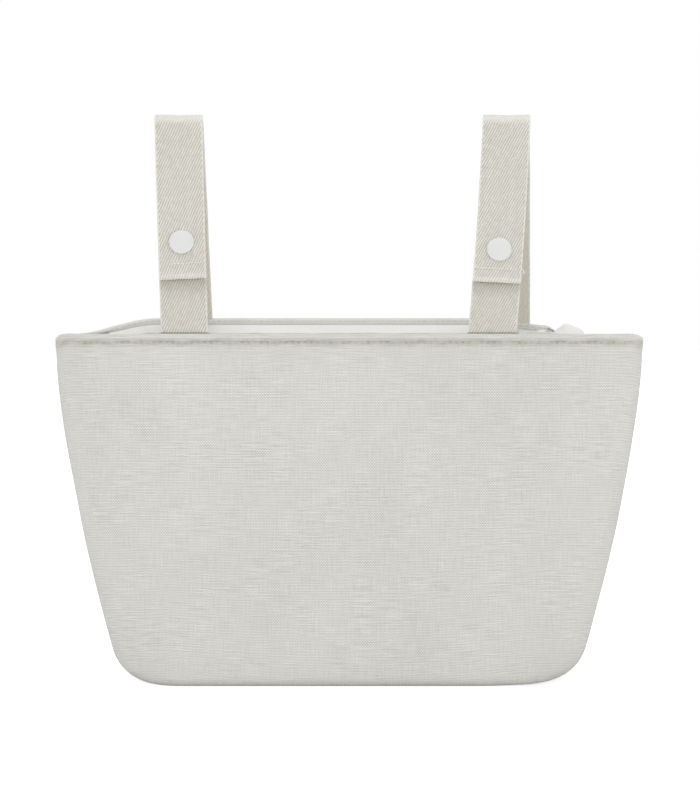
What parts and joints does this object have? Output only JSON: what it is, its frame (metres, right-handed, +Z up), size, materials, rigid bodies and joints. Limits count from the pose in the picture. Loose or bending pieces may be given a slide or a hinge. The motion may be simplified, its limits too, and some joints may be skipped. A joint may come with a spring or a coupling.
{
  "type": "organizer bag",
  "caption": "Padded zip-top organizer bag with flared sides, a flat base and two webbing loop straps that snap round a pram handle.",
  "frame": {"origin": "middle of the base, on the surface the bag stands on", "axes": "+Z up, -Y out of the front that the picture shows, +X to the right seen from the front"},
  "size_m": [0.3586, 0.1224, 0.3453],
  "materials": {
    "outer_cloth": "matt off-white linen-look plain weave with faint slubs",
    "padding_foam": "soft needled wadding, matt",
    "lining_cloth": "thin pale plain-weave lining, matt",
    "facing_cloth": "pale plain-weave cloth, matt",
    "strap_webbing": "twill-woven cotton webbing, matt, warm off-white",
    "snap_cap_plastic": "plain white moulded cap, satin",
    "snap_metal": "nickel-plated spring snap halves",
    "zip_tape": "woven tape, matt beige",
    "zip_coil": "nylon coil, satin beige",
    "zip_metal": "pale brushed plating"
  },
  "bodies": {
    "root": {"outer_front_panel": "outer_cloth", "outer_back_panel": "outer_cloth", "padding_front": "padding_foam", "padding_back": "padding_foam", "lining_front": "lining_cloth", "lining_back": "lining_cloth", "inner_pocket": "lining_cloth", "zip_facing_front": "facing_cloth", "zip_facing_back": "facing_cloth", "zip_tape_front": "zip_tape", "zip_tape_back": "zip_tape", "zip_coil_front": "zip_coil", "zip_coil_back": "zip_coil", "zip_top_stop_front": "zip_metal", "zip_top_stop_back": "zip_metal", "zip_bottom_stop": "zip_metal", "zip_end_tab_right": "facing_cloth", "zip_end_tab_left": "facing_cloth", "strap_left": "strap_webbing", "strap_right": "strap_webbing", "strap_stub_left": "strap_webbing", "strap_stub_right": "strap_webbing", "snap_cap_left": "snap_cap_plastic", "snap_cap_right": "snap_cap_plastic", "snap_socket_left": "snap_metal", "snap_socket_right": "snap_metal", "snap_stud_left": "snap_metal", "snap_stud_right": "snap_metal", "snap_back_left": "snap_cap_plastic", "snap_back_right": "snap_cap_plastic"},
    "slider": {"zip_slider": "zip_metal"},
    "pull": {"zip_pull": "zip_metal"}
  },
  "joints": [
    {"name": "zip_slide", "type": "slide", "parent": "root", "child": "slider", "axis": [1, 0, 0], "range_m": [-0.24, 0]},
    {"name": "pull_hinge", "type": "hinge", "parent": "slider", "child": "pull", "pos_m": [0.1182, 0, 0.21068], "axis": [0, 1, 0], "range_deg": [0, 135]}
  ]
}
